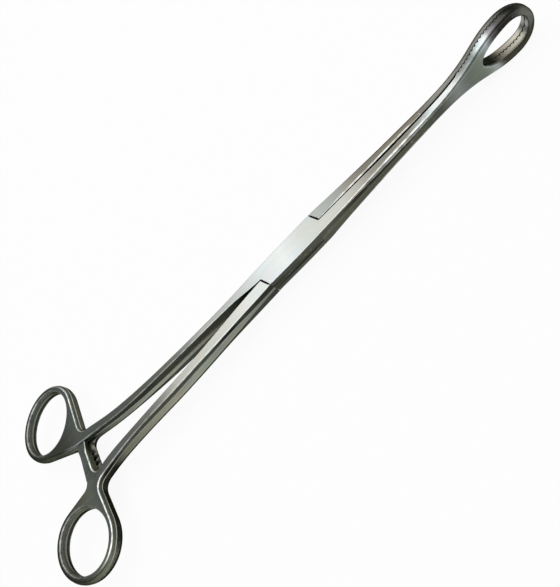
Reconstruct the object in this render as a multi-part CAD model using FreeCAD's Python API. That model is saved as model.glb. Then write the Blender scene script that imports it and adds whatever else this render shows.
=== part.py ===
import FreeCAD, Part
import math
import os

from FreeCAD import Vector

# Sponge forceps with ring jaws and a box lock, in the closed position.
# +X runs from the finger rings to the jaws, +Z is the pivot axis and points up.
# The origin is on the pivot axis, in the plane of the lock's lower flat face.
# The female half carries the box of the lock: its shank is on +Y and its jaw on -Y.
# The male half carries the tongue: its shank is on -Y and its jaw on +Y.
# Every shape is drawn about the middle plane of the lock and raised at the end.

# Lock
LOCK_THICKNESS = 5.8
LOCK_WIDTH = 9.7
LOCK_END_X = 12.0           # where the lock's sides pass into shanks and stems
STEP_EDGE_X = 12.4          # where a step meets the side of the lock
STEP_INNER_X = 14.5         # where a step meets the seam between the halves
STEP_GAP = 0.35             # between a step of the box and the shoulder facing it
TONGUE_THICKNESS = 2.2
TONGUE_FACE_CLEARANCE = 0.05
TONGUE_END_RADIUS = 11.8    # rounded end of the tongue, about the pivot axis
TONGUE_END_CLEARANCE = 0.15
TONGUE_SIDE_RECESS = 0.25   # behind the sides of the box
TONGUE_ROOT = 1.0           # of the tongue inside shank and stem
PIN_DIAMETER = 4.0
PIN_RUNNING_CLEARANCE = 0.03

# Seam between the halves
SEAM_GAP = 0.2

# One jaw: distance of its back from the seam, then its half height, at stations along X
JAW_BACKS = [(10.0, 4.8), (20.0, 4.4), (33.0, 4.0), (50.0, 3.4), (67.0, 2.9), (80.0, 2.65),
             (92.0, 2.75), (100.0, 2.55), (107.5, 1.9)]
JAW_HALF_HEIGHTS = [(10.0, 2.85), (20.0, 2.7), (33.0, 2.5), (50.0, 2.35), (66.0, 2.35),
                    (73.0, 2.85), (78.0, 3.75), (82.0, 4.8), (86.0, 6.2), (90.5, 7.6)]
LOOP_WIDEST_X = 97.5
LOOP_HALF_WIDTH = 8.4
JAW_TIP_X = 106.9
WINDOW_REAR_X = 85.8
WINDOW_WIDEST_X = 98.0
WINDOW_HALF_WIDTH = 5.0
WINDOW_TIP_X = 104.2
JAW_EDGE_ROUND = 1.1
SERRATION_START_X = 78.0
SERRATION_PITCH = 1.4
SERRATION_DEPTH = 0.5

# Shanks: distance of the centre line from the seam and half width, at stations along X
FEMALE_SHANK = [(-10.0, 2.5, 2.3), (-26.0, 2.65, 2.25), (-37.0, 3.15, 2.15), (-49.0, 3.6, 2.1),
                (-60.0, 4.05, 2.15), (-72.0, 4.75, 2.15), (-84.0, 5.9, 2.15), (-94.0, 7.4, 2.2),
                (-103.0, 9.4, 2.4)]
MALE_SHANK = [(-10.0, 2.5, 2.3), (-26.0, 3.3, 2.5), (-37.0, 3.95, 2.6), (-49.0, 4.8, 2.6),
              (-64.0, 5.6, 2.6), (-76.0, 5.85, 2.6), (-88.0, 6.35, 2.5), (-100.0, 7.5, 2.5)]
HANDLE_THICKNESS = 5.0
LOCK_EDGE_ROUND = 0.4
HANDLE_EDGE_ROUND = 1.25

# Finger rings
RING_X = -123.7
FEMALE_RING_Y = 30.5
MALE_RING_Y = 26.25
RING_SHORT_RADIUS = 13.05
RING_STRETCH = 1.2          # of the long radius over the short one
RING_BAND = 3.0
RING_TURN = 35.5            # degrees from -X outwards to the ring's short axis
FEMALE_NECK_OUTER = (-109.6, 13.4)
FEMALE_NECK_INNER = (-115.6, 9.4)
MALE_NECK_OUTER = (-109.6, 11.9)
MALE_NECK_INNER = (-115.3, 9.0)
NECK_OUTER_ROUND = 3.0
NECK_INNER_ROUND = 2.5

# Ratchet: one toothed arm on each half, one above the other
ARM_REAR_TIP_X = -113.6
ARM_REAR_ROOT_X = -115.0
MALE_ARM_FRONT_X = -109.3
FEMALE_ARM_FRONT_X = -107.8
ARM_HALF_HEIGHT = 2.35
ARM_EDGE_ROUND = 0.8
ARM_FACE_GAP = 0.12         # between the tips of the facing teeth
ARM_ROOT_Y = 7.2            # where the rounded corner at the root ends, inside the shank
ARM_ROOT_ROUND = 2.5
ARM_BURIED_Y = 9.5          # end of the root, buried in its own neck
ARM_END_GAP = 0.35          # to the other half's neck
TOOTH_PITCH = 2.7
TOOTH_DEPTH = 0.8
TOOTH_COUNT = 4
TOOTH_START_Y = -3.6
TOOTH_LEAN = 0.7            # share of the pitch on a tooth's long side

MIDDLE_Z = LOCK_THICKNESS / 2
HALF_LOCK = LOCK_WIDTH / 2
HALF_SEAM = SEAM_GAP / 2
RING_LONG_RADIUS = RING_SHORT_RADIUS + RING_STRETCH
REACH = 30.0                # past every outline in Y and Z
LONG_EDGE = 20.0            # only the edges along a part are longer
NEAR = 0.01                 # two places closer than this are the same place


def prism(points, low, high):
    """Outline in the XY plane raised from z = low to z = high."""
    corners = [Vector(x, y, low) for x, y in points]
    face = Part.Face(Part.makePolygon(corners + corners[:1]))
    return face.extrude(Vector(0, 0, high - low))


def smooth(points, start=None, end=None):
    """Smooth edge through the points, with its end directions where they are given."""
    curve = Part.BSplineCurve()
    if start is None:
        curve.interpolate(Points=points)
    else:
        curve.interpolate(Points=points, InitialTangent=start, FinalTangent=end)
    return curve.toShape()


def line(a, b):
    return Part.LineSegment(a, b).toShape()


def face_of(edges):
    return Part.Face(Part.Wire(Part.__sortEdges__(edges)))


def mirrored(shape):
    """The same shape on the other side of the seam."""
    return shape.mirror(Vector(0, 0, 0), Vector(0, 1, 0))


def turned(shape):
    """The same shape after half a turn about the pivot axis."""
    copy = shape.copy()
    copy.rotate(Vector(0, 0, 0), Vector(0, 0, 1), 180)
    return copy


def upper_jaw_edge():
    """Upper outline of stem and loop, seen along Y, from the lock to the tip."""
    points = [Vector(x, 0, z) for x, z in JAW_HALF_HEIGHTS]
    nose = JAW_TIP_X - LOOP_WIDEST_X
    for degrees in (0, 30, 60, 90):
        angle = math.radians(degrees)
        points.append(Vector(LOOP_WIDEST_X + nose * math.sin(angle), 0, LOOP_HALF_WIDTH * math.cos(angle)))
    return smooth(points, Vector(1, 0, -0.03), Vector(0, 0, -1))


def jaw_window():
    """Opening of the loop: an egg, narrower towards the stem."""
    points = []
    for degrees in range(0, 360, 30):
        angle = math.radians(degrees)
        end = WINDOW_TIP_X if math.cos(angle) > 0 else WINDOW_REAR_X
        points.append(Vector(WINDOW_WIDEST_X + abs(end - WINDOW_WIDEST_X) * math.cos(angle), 0,
                             WINDOW_HALF_WIDTH * math.sin(angle)))
    curve = Part.BSplineCurve()
    curve.interpolate(Points=points, PeriodicFlag=True)
    return Part.Face(Part.Wire([curve.toShape()]))


def seam_side(phase):
    """Everything on the far side of a jaw's gripping face: flat, then a row of crosswise teeth."""
    points = [(0, -REACH), (0, HALF_SEAM), (SERRATION_START_X, HALF_SEAM)]
    x = SERRATION_START_X
    swing = phase * SERRATION_DEPTH / 2
    while x < JAW_TIP_X + SERRATION_PITCH:
        points.append((x + SERRATION_PITCH / 4, HALF_SEAM + swing))
        points.append((x + SERRATION_PITCH * 3 / 4, HALF_SEAM - swing))
        x += SERRATION_PITCH
    points += [(x, HALF_SEAM), (x, -REACH)]
    return prism(points, -REACH, REACH)


def jaw(phase):
    """One jaw with its stem on the +Y side, rounded on its back and toothed on the seam."""
    top = upper_jaw_edge()
    bottom = top.mirror(Vector(0, 0, 0), Vector(0, 0, 1))
    start_x, start_z = JAW_HALF_HEIGHTS[0]
    rear = line(Vector(start_x, 0, -start_z), Vector(start_x, 0, start_z))
    side_view = face_of([top, bottom, rear])
    side_view.translate(Vector(0, -SERRATION_DEPTH, 0))
    outline = side_view.extrude(Vector(0, REACH, 0))
    window = jaw_window()
    window.translate(Vector(0, -SERRATION_DEPTH, 0))

    back = [Vector(x, y, -REACH) for x, y in JAW_BACKS]
    front = [Vector(x, -SERRATION_DEPTH, -REACH) for x in (JAW_BACKS[0][0], JAW_BACKS[-1][0])]
    plan = face_of([smooth(back), line(back[0], front[0]), line(front[0], front[1]),
                    line(front[1], back[-1])])
    blank = outline.common(plan.extrude(Vector(0, 0, 2 * REACH)))
    blank = blank.cut(window.extrude(Vector(0, REACH, 0)))
    back_edges = [edge for edge in blank.Edges if edge.BoundBox.YMin > 1 and edge.Length > LONG_EDGE]
    return blank.makeFillet(JAW_EDGE_ROUND, back_edges).cut(seam_side(phase))


def ring_axes():
    """Directions of a ring's short and long axes on the +Y side."""
    turn = math.radians(RING_TURN)
    return Vector(-math.cos(turn), math.sin(turn), 0), Vector(math.sin(turn), math.cos(turn), 0)


def ring_ellipse(centre, growth):
    """The ring's centre line, grown by a distance."""
    short, long = ring_axes()
    return Part.Ellipse(centre + long * (RING_LONG_RADIUS + growth),
                        centre + short * (RING_SHORT_RADIUS + growth), centre)


def touch_point(corner, centre, side):
    """Point where a line from a corner touches the outside of the ring."""
    short, long = ring_axes()
    a = RING_SHORT_RADIUS + RING_BAND / 2
    b = RING_LONG_RADIUS + RING_BAND / 2
    u = (corner - centre).dot(short) / a
    v = (corner - centre).dot(long) / b
    angle = math.atan2(v, u) + side * math.acos(1 / math.hypot(u, v))
    return centre + short * (a * math.cos(angle)) + long * (b * math.sin(angle))


def handle_outline(stations, ring_y, outer_corner, inner_corner):
    """Outline of shank, neck and ring on the +Y side, at their lower face."""
    low = -HANDLE_THICKNESS / 2
    outer = [Vector(x, c + w, low) for x, c, w in stations] + [Vector(*outer_corner, low)]
    inner = [Vector(x, c - w, low) for x, c, w in stations] + [Vector(*inner_corner, low)]
    centre = Vector(RING_X, ring_y, low)
    outer_touch = touch_point(outer[-1], centre, -1)
    inner_touch = touch_point(inner[-1], centre, 1)
    rim = ring_ellipse(centre, RING_BAND / 2)
    u1 = rim.parameter(outer_touch)
    u2 = rim.parameter(inner_touch)
    arc = Part.ArcOfEllipse(rim, u1, u2).toShape()
    away = centre + (centre - outer[-1])
    if arc.distToShape(Part.Vertex(away))[0] > Part.Vertex(outer[-1]).distToShape(arc)[0]:
        arc = Part.ArcOfEllipse(rim, u2, u1).toShape()
    edges = [smooth(outer), line(outer[-1], outer_touch), arc, line(inner_touch, inner[-1]),
             smooth(inner), line(inner[0], outer[0])]
    return face_of(edges), centre


def handle_plate(stations, ring_y, outer_corner, inner_corner):
    """Shank, neck and finger ring on the +Y side, with straight walls and sharp edges."""
    face, centre = handle_outline(stations, ring_y, outer_corner, inner_corner)
    hole = Part.Face(Part.Wire([ring_ellipse(centre, -RING_BAND / 2).toShape()]))
    plate = face.cut(hole).extrude(Vector(0, 0, HANDLE_THICKNESS))
    for corner, radius in ((outer_corner, NECK_OUTER_ROUND), (inner_corner, NECK_INNER_ROUND)):
        upright = [e for e in plate.Edges
                   if abs(e.BoundBox.ZLength - HANDLE_THICKNESS) < NEAR
                   and math.dist((e.BoundBox.Center.x, e.BoundBox.Center.y), corner) < NEAR]
        plate = plate.makeFillet(radius, upright)
    return plate


def handle(plate):
    """A plate with its edges rounded above and below."""
    long_edges = [e for e in plate.Edges if e.BoundBox.ZLength < NEAR and e.BoundBox.XLength > NEAR]
    return plate.makeFillet(HANDLE_EDGE_ROUND, long_edges)


def arm_plan(front_x):
    """Plan of an arm that grows from the -Y side, with a rounded corner towards its shank."""
    corner = Vector(front_x + ARM_ROOT_ROUND, -ARM_ROOT_Y, -REACH)
    start = Vector(front_x, -ARM_ROOT_Y + ARM_ROOT_ROUND, -REACH)
    middle = Vector(front_x + ARM_ROOT_ROUND * (1 - math.sqrt(0.5)),
                    -ARM_ROOT_Y + ARM_ROOT_ROUND * (1 - math.sqrt(0.5)), -REACH)
    front_end = Vector(front_x, ARM_BURIED_Y, -REACH)
    rear_end = Vector(ARM_REAR_TIP_X, ARM_BURIED_Y, -REACH)
    rear_root = Vector(ARM_REAR_ROOT_X, -ARM_BURIED_Y, -REACH)
    front_root = Vector(corner.x, -ARM_BURIED_Y, -REACH)
    return face_of([Part.Arc(start, middle, corner).toShape(), line(start, front_end),
                    line(front_end, rear_end), line(rear_end, rear_root), line(rear_root, front_root),
                    line(front_root, corner)])


def tooth_grooves(side):
    """Slanted grooves across the inner face of an arm."""
    low = side * ARM_FACE_GAP / 2
    depth = side * TOOTH_DEPTH
    grooves = []
    for number in range(TOOTH_COUNT):
        y = TOOTH_START_Y + number * TOOTH_PITCH
        outline = [(y, low), (y + TOOTH_PITCH * TOOTH_LEAN, low + depth), (y + TOOTH_PITCH, low),
                   (y + TOOTH_PITCH / 2, low - depth)]
        points = [Vector(ARM_REAR_ROOT_X, py, pz) for py, pz in outline]
        grooves.append(Part.Face(Part.makePolygon(points + points[:1])).extrude(Vector(REACH, 0, 0)))
    return grooves


def arm(side, front_x):
    """Toothed ratchet arm from the -Y side, above the middle plane for side 1 and below it for -1."""
    inner = side * ARM_FACE_GAP / 2
    outer = side * ARM_HALF_HEIGHT
    layer = Part.makeBox(4 * REACH, 2 * REACH, abs(outer - inner),
                         Vector(front_x - 2 * REACH, -REACH, min(inner, outer)))
    bar = arm_plan(front_x).extrude(Vector(0, 0, 2 * REACH)).common(layer)
    outer_edges = [e for e in bar.Edges
                   if abs(e.BoundBox.ZMin - outer) < NEAR and abs(e.BoundBox.ZMax - outer) < NEAR
                   and e.BoundBox.YMax < ARM_BURIED_Y + NEAR and e.BoundBox.YLength > ARM_ROOT_ROUND - NEAR]
    return bar.makeFillet(ARM_EDGE_ROUND, outer_edges).cut(tooth_grooves(side))


def box_outline():
    """Plan of the box, from step to step."""
    return [(-LOCK_END_X, HALF_LOCK), (-STEP_INNER_X, 0), (-STEP_EDGE_X, -HALF_LOCK),
            (LOCK_END_X, -HALF_LOCK), (STEP_INNER_X, 0), (STEP_EDGE_X, HALF_LOCK)]


def box_block():
    """Block of the box, still without its slot."""
    block = prism(box_outline(), -MIDDLE_Z, MIDDLE_Z)
    long_edges = [e for e in block.Edges if e.BoundBox.XLength > LONG_EDGE and e.BoundBox.YLength < NEAR]
    return block.makeFillet(LOCK_EDGE_ROUND, long_edges)


def box_slot():
    """Room between the two cheeks for the tongue and its turn, closed at the two posts of the box."""
    half = TONGUE_THICKNESS / 2 + TONGUE_FACE_CLEARANCE
    slot = Part.makeBox(2 * REACH, 2 * REACH, 2 * half, Vector(-REACH, -REACH, -half))
    post = Part.makeBox(REACH, REACH, 2 * REACH, Vector(0, -REACH - HALF_SEAM, -REACH))
    sweep = Part.makeCylinder(TONGUE_END_RADIUS + TONGUE_END_CLEARANCE, 2 * REACH, Vector(0, 0, -REACH))
    post = post.cut(sweep)
    return slot.cut(post).cut(turned(post))


def tongue():
    """Flat tongue through the box, with its two free corners rounded about the pivot."""
    half = TONGUE_THICKNESS / 2
    side = HALF_LOCK - TONGUE_SIDE_RECESS
    reach = STEP_INNER_X + STEP_GAP + TONGUE_ROOT
    band = prism([(-reach, -side), (reach, -side), (reach, side), (-reach, side)], -half, half)
    disc = Part.makeCylinder(TONGUE_END_RADIUS, TONGUE_THICKNESS, Vector(0, 0, -half))
    arm_band = prism([(0, HALF_SEAM), (reach, HALF_SEAM), (reach, side), (0, side)], -half, half)
    return disc.common(band).fuse([arm_band, turned(arm_band)])


def beyond_shoulder():
    """Room of the box and its step gap, out to the shoulder on the +X side."""
    slope = (STEP_INNER_X - STEP_EDGE_X) / HALF_LOCK
    inner_x = STEP_INNER_X + STEP_GAP
    points = [(0, -REACH), (inner_x + slope * REACH, -REACH), (inner_x - slope * REACH, REACH), (0, REACH)]
    return prism(points, -REACH, REACH)


def female_half(plate, other_plate):
    grip = handle(plate)
    room = mirrored(other_plate).translated(Vector(0, ARM_END_GAP, 0))
    toothed = mirrored(arm(-1, FEMALE_ARM_FRONT_X)).cut(room)
    body = box_block().fuse([grip, mirrored(jaw(-1)), toothed]).cut(box_slot())
    hole = Part.makeCylinder(PIN_DIAMETER / 2, 2 * REACH, Vector(0, 0, -REACH))
    return body.cut(hole)


def male_half(plate, other_plate):
    shoulder = beyond_shoulder()
    grip = mirrored(handle(plate)).cut(turned(shoulder))
    stem = jaw(1).cut(shoulder)
    room = other_plate.translated(Vector(0, -ARM_END_GAP, 0))
    body = tongue().fuse([grip, stem, arm(1, MALE_ARM_FRONT_X).cut(room)])
    hole = Part.makeCylinder(PIN_DIAMETER / 2 + PIN_RUNNING_CLEARANCE, 2 * REACH, Vector(0, 0, -REACH))
    return body.cut(hole)


def lock_pin():
    """Pin riveted flush with both cheeks."""
    return Part.makeCylinder(PIN_DIAMETER / 2, LOCK_THICKNESS, Vector(0, 0, -LOCK_THICKNESS / 2))


def main():
    os.makedirs("parts", exist_ok=True)
    female_plate = handle_plate(FEMALE_SHANK, FEMALE_RING_Y, FEMALE_NECK_OUTER, FEMALE_NECK_INNER)
    male_plate = handle_plate(MALE_SHANK, MALE_RING_Y, MALE_NECK_OUTER, MALE_NECK_INNER)
    pieces = {
        "female_half": female_half(female_plate, male_plate),
        "male_half": male_half(male_plate, female_plate),
        "lock_pin": lock_pin(),
    }
    for name, shape in pieces.items():
        shape.translate(Vector(0, 0, MIDDLE_Z))
        shape = shape.removeSplitter()
        shape.exportStep("parts/" + name + ".step")
        print(name, len(shape.Solids), "solid,", round(shape.Volume, 1), "mm3, valid", shape.isValid())


main()
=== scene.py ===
import math

import bmesh
import bpy
import numpy as np
from mathutils import Matrix, Vector
from mathutils.geometry import delaunay_2d_cdt


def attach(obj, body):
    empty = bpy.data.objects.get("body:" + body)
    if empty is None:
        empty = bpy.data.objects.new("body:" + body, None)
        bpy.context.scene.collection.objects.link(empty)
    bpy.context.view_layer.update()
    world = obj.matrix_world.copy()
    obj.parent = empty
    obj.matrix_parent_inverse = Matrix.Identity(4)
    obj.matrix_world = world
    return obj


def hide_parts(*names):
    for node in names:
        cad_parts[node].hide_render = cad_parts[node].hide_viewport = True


# Sponge forceps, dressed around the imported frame. Sizes are in millimetres about the lock's
# middle plane, as the forger's drawing has them, and turn to metres where a mesh is made.

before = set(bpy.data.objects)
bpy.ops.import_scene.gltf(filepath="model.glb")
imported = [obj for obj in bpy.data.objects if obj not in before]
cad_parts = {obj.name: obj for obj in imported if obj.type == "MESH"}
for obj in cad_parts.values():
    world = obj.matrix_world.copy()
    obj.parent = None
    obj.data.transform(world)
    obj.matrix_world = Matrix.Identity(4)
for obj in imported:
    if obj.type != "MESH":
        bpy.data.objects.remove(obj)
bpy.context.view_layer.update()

MM = 0.001
MIDDLE_Z = 2.9              # the lock's middle plane above its lower face

# Lock
LOCK_HALF_HEIGHT = 2.9
LOCK_HALF_WIDTH = 4.85
STEP_EDGE_X = 12.4          # where a step meets the side of the lock
STEP_INNER_X = 14.5         # where a step meets the seam
STEP_GAP = 0.08             # between the two halves at a step
HALF_SEAM = 0.1
TONGUE_HALF_HEIGHT = 1.145
SLOT_HALF_HEIGHT = 1.15
TONGUE_RADIUS = 11.8
SWEEP_RADIUS = 11.95
TONGUE_HALF_WIDTH = 4.83
MALE_STEP_EDGE_X = STEP_EDGE_X + STEP_GAP
MALE_STEP_INNER_X = STEP_INNER_X + STEP_GAP
PIN_RADIUS = 2.0
BORE_RADIUS = 2.03

# Jaws: backs from the seam, half heights of stem and loop, and the window
JAW_BACKS = [(-12, 4.85), (14, 4.8), (20, 4.5), (33, 4.0), (50, 3.4), (67, 2.9), (80, 2.65),
             (92, 2.75), (100, 2.55), (107.5, 1.9)]
STEM_HALF_HEIGHTS = [(-12, 2.9), (14, 2.86), (20, 2.72), (33, 2.5), (50, 2.33), (66, 2.33),
                     (73, 2.83), (78, 3.73), (82, 4.78), (86, 6.15), (90.5, 7.55)]
LOOP_WIDEST_X = 97.5
LOOP_HALF_WIDTH = 8.38
JAW_TIP_X = 106.88
WINDOW_REAR_X = 85.8
WINDOW_WIDEST_X = 98.0
WINDOW_HALF_WIDTH = 5.0
WINDOW_TIP_X = 104.2
TOOTH_START_X = 78.0
TOOTH_PITCH = 1.4
TOOTH_DEPTH = 0.5

# The shells of stem and jaw overlap, and the end of each dives a little under the other
JAW_START_X = 50.0
STEM_END_X = 62.0
STEM_DIVE_X = 54.0
SEAM_DIVE_X = 54.5
JAW_DIVE_END_X = 58.0
DIVE = 0.03

# Shanks: outer and inner side from the seam
FEMALE_OUTER = [(-12, 4.85), (-26, 4.9), (-37, 5.3), (-49, 5.7), (-60, 6.2), (-72, 6.9),
                (-84, 8.05), (-94, 9.6), (-103, 11.8), (-109.6, 13.4)]
FEMALE_INNER = [(-12, 0.1), (-26, 0.4), (-37, 1.0), (-49, 1.5), (-60, 1.9), (-72, 2.6),
                (-84, 3.75), (-94, 5.2), (-103, 7.0), (-115.6, 9.4)]
MALE_OUTER = [(-12, 4.85), (-26, 5.8), (-37, 6.55), (-49, 7.4), (-64, 8.2), (-76, 8.45),
              (-88, 8.85), (-100, 10.0), (-109.6, 11.9)]
MALE_INNER = [(-12, 0.1), (-26, 0.8), (-37, 1.35), (-49, 2.2), (-64, 3.0), (-76, 3.25),
              (-88, 3.85), (-100, 5.0), (-115.3, 9.0)]
HANDLE_HALF_HEIGHTS = [(-150, 2.35), (-100, 2.45), (-64, 2.5), (-42, 2.6), (-26, 2.78),
                       (-13, 2.9), (0, 2.9), (13, 2.9), (20, 2.72), (33, 2.5), (50, 2.33),
                       (66, 2.33)]
RING_X = -123.7
FEMALE_RING_Y = 30.5
MALE_RING_Y = 26.25
RING_SHORT_RADIUS = 13.02
RING_LONG_RADIUS = 14.22
RING_BAND = 3.0
RING_TURN = math.radians(35.5)
RING_SHORT_AXIS = np.array([-math.cos(RING_TURN), math.sin(RING_TURN)])
RING_LONG_AXIS = np.array([math.sin(RING_TURN), math.cos(RING_TURN)])
OUTER_NECK_REACH = 3.6      # of the rounded corners between shank and ring
INNER_NECK_REACH = 2.2
INNER_NECK_CLEAR = 2.4      # from the inner corner to the shank's first point

# Ratchet arms
ARM_TIP_REAR_X = -113.5
ARM_REAR_X = -114.9
ARM_END_GAP = 0.45
MALE_ARM_FRONT_X = -108.9
FEMALE_ARM_FRONT_X = -107.2
ARM_ROOT_REACH = 3.0        # of the rounded corner between the arm's front and the shank
ARM_HALF_HEIGHT = 2.35
ARM_FACE_GAP = 0.06
RATCHET_PITCH = 2.7
RATCHET_DEPTH = 0.8
RATCHET_COUNT = 4
RATCHET_START_Y = 3.6
RATCHET_LEAN = 0.7

# Points: how far apart they are, how many there are, and how near they count as one
POINT_SPACING = 1.5
STEP_SPACING = 0.5
RING_OUTSIDE_POINTS = 150
RING_HOLE_POINTS = 140
PIN_POINTS = 64
ARC_POINTS = 24
SAME_PLACE = 1e-6
DOUBLE_METRES = 1e-7        # in a new mesh
SLIVER_METRES = 2e-6        # along a cut
SHARP_ANGLE = math.radians(35)


def spline(points, x, end=None):
    """Cubic spline y(x): cubics between the points whose slope and bend agree at each point. The bend
    is nought at both ends, or the slope at the last one is the one given."""
    xs, ys = np.array(sorted(points), float).T
    n = len(xs)
    h = np.diff(xs)
    slopes = np.diff(ys) / h
    system = np.zeros((n, n))
    right = np.zeros(n)
    system[0, 0] = system[-1, -1] = 1
    inner = np.arange(1, n - 1)
    system[inner, inner - 1] = h[:-1]
    system[inner, inner] = 2 * (h[:-1] + h[1:])
    system[inner, inner + 1] = h[1:]
    right[inner] = 6 * np.diff(slopes)
    if end is not None:
        system[-1, -2:] = h[-1], 2 * h[-1]
        right[-1] = 6 * (end - slopes[-1])
    bend = np.linalg.solve(system, right)
    x = np.asarray(x, float)
    i = np.clip(np.searchsorted(xs, x) - 1, 0, n - 2)
    a = (xs[i + 1] - x) / h[i]
    b = 1 - a
    return a * ys[i] + b * ys[i + 1] + ((a**3 - a) * bend[i] + (b**3 - b) * bend[i + 1]) * h[i]**2 / 6


def slope_at(points, x):
    """Slope of a spline, from its heights a little to both sides of x."""
    return (spline(points, x + 0.01) - spline(points, x - 0.01)) / 0.02


def blend(a, b, share):
    """a at share 0, b at share 1, and even between."""
    return a + (b - a) * share


def eased(low, high, x):
    """0 below low, 1 above high, and 3t² - 2t³ between."""
    t = np.clip((np.asarray(x, float) - low) / (high - low), 0, 1)
    return t * t * (3 - 2 * t)


def straight(a, b, spacing):
    """Even points from a up to, not with, b."""
    a, b = np.asarray(a, float), np.asarray(b, float)
    steps = max(1, round(math.dist(a, b) / spacing))
    return a + (b - a) * (np.arange(steps) / steps)[:, None]


def bend(before, corner, after, reach, count):
    """Parabola that rounds a corner, from reach before it to reach after it."""
    before, corner, after = (np.asarray(p, float) for p in (before, corner, after))
    a = corner + (before - corner) * reach / math.dist(before, corner)
    b = corner + (after - corner) * reach / math.dist(after, corner)
    t = np.linspace(0, 1, count)[:, None]
    return (1 - t)**2 * a + 2 * t * (1 - t) * corner + t**2 * b


def ring_at(centre_y, growth, angle):
    """Ellipse of a finger ring at its middle line plus growth: centre + a cos(angle) + b sin(angle)
    along its short and long axes."""
    angle = np.asarray(angle, float)[..., None]
    return (np.array([RING_X, centre_y]) + (RING_SHORT_RADIUS + growth) * np.cos(angle) * RING_SHORT_AXIS
            + (RING_LONG_RADIUS + growth) * np.sin(angle) * RING_LONG_AXIS)


def touch_angle(corner, centre_y, side):
    """Angle on the ring's outside where a line from a corner touches it."""
    away = np.array(corner) - np.array([RING_X, centre_y])
    u = away @ RING_SHORT_AXIS / (RING_SHORT_RADIUS + RING_BAND / 2)
    v = away @ RING_LONG_AXIS / (RING_LONG_RADIUS + RING_BAND / 2)
    return math.atan2(v, u) + side * math.acos(1 / math.hypot(u, v))


def ring_run(centre_y, outer_corner, inner_corner):
    """Outside of a ring from the touch of its outer neck line round to that of its inner one."""
    start = touch_angle(outer_corner, centre_y, -1)
    end = touch_angle(inner_corner, centre_y, 1) - 2 * math.pi
    return ring_at(centre_y, RING_BAND / 2, np.linspace(start, end, RING_OUTSIDE_POINTS))


def ring_hole(centre_y):
    """Inside of a finger ring."""
    angle = np.arange(RING_HOLE_POINTS) * 2 * math.pi / RING_HOLE_POINTS
    return ring_at(centre_y, -RING_BAND / 2, angle)


def side_of_shank(stations, x):
    """Points of one side of a shank at places along it."""
    return np.c_[x, spline(stations, x)]


def handle_side(outer, inner, ring_y, start_x, end_x, arm_front_x, tip_y):
    """Outline of a handle on the +Y side: outer side, neck, ring, neck and inner side. With an arm,
    the inner neck runs into the arm's rear side, round its tip, up its front and by a rounded corner
    into the shank. The straight line from the ring to the inner neck and the shank in front of the
    arm have the same points in both outlines, so that the two halves of the handle meet there."""
    outer_corner, inner_corner = outer[-1], inner[-1]
    run = ring_run(ring_y, outer_corner, inner_corner)
    outer_x = np.arange(start_x, outer_corner[0] + OUTER_NECK_REACH + 0.1, -POINT_SPACING)
    side = side_of_shank(outer, outer_x)
    pieces = [side, bend(side[-1], outer_corner, run[0], OUTER_NECK_REACH, 15)]
    pieces += [straight(pieces[-1][-1], run[0], POINT_SPACING)[1:], run]
    inner_x = np.arange(end_x, inner_corner[0], -POINT_SPACING)[::-1]
    inner_x = inner_x[inner_x > inner_corner[0] + INNER_NECK_CLEAR]
    first = side_of_shank(inner, inner_x[:1])[0]
    plain_neck = bend(run[-1], inner_corner, first, INNER_NECK_REACH, 9)
    pieces += [straight(run[-1], plain_neck[0], POINT_SPACING)[1:], plain_neck[:1]]
    if arm_front_x is None:
        pieces += [plain_neck[1:], side_of_shank(inner, inner_x)]
        return np.concatenate(pieces)
    side = side_of_shank(inner, inner_x[inner_x > arm_front_x + ARM_ROOT_REACH])
    join = side[0]
    root = np.array([arm_front_x, join[1] + slope_at(inner, join[0]) * (arm_front_x - join[0])])
    neck_line = (np.array(inner_corner) - run[-1]) / (inner_corner[0] - run[-1][0])
    rear = run[-1] + neck_line * (ARM_REAR_X - run[-1][0])
    tip_rear = np.array([ARM_TIP_REAR_X, tip_y])
    tip_front = np.array([arm_front_x, tip_y])
    neck = bend(run[-1], rear, tip_rear, math.dist(rear, plain_neck[0]), 13)[1:]
    ratchet_y = ratchet_corners()[0]
    rear_y = ratchet_y[ratchet_y < neck[-1][1]][::-1]
    share = (rear_y - rear[1]) / (tip_y - rear[1])
    rear_run = np.c_[blend(rear[0], ARM_TIP_REAR_X, share), rear_y]
    tip_corners = [bend(rear, tip_rear, tip_front, 0.5, 5), bend(tip_rear, tip_front, root, 0.5, 5)]
    root_bend = bend(tip_front, root, join, math.dist(root, join), 13)[:-1]
    front_y = ratchet_y[ratchet_y < root_bend[0][1] - 0.05]
    front_run = np.c_[np.full(len(front_y), arm_front_x), front_y]
    return np.concatenate(pieces + [neck, rear_run, *tip_corners, front_run, root_bend, side])


def ratchet_corners():
    """Places across the seam, and heights, of the corners of the ratchet's slanted grooves."""
    ys, zs = [], []
    for number in range(RATCHET_COUNT):
        y = -RATCHET_START_Y + number * RATCHET_PITCH
        ys += [y + 0.02, y + RATCHET_PITCH * RATCHET_LEAN, y + RATCHET_PITCH - 0.02]
        zs += [ARM_FACE_GAP, ARM_FACE_GAP + RATCHET_DEPTH, ARM_FACE_GAP]
    return np.array(ys), np.array(zs)


def mitres(points):
    """Inward vectors of a closed outline with the metal on its left: the mean of the two sides'
    normals, made longer at a corner so that both sides move in by the same distance."""
    ahead = np.roll(points, -1, 0) - points
    behind = points - np.roll(points, 1, 0)
    a = ahead / np.linalg.norm(ahead, axis=1)[:, None]
    b = behind / np.linalg.norm(behind, axis=1)[:, None]
    normal_a = np.c_[-a[:, 1], a[:, 0]]
    normal_b = np.c_[-b[:, 1], b[:, 0]]
    return (normal_a + normal_b) / (1 + (normal_a * normal_b).sum(1))[:, None]


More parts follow.
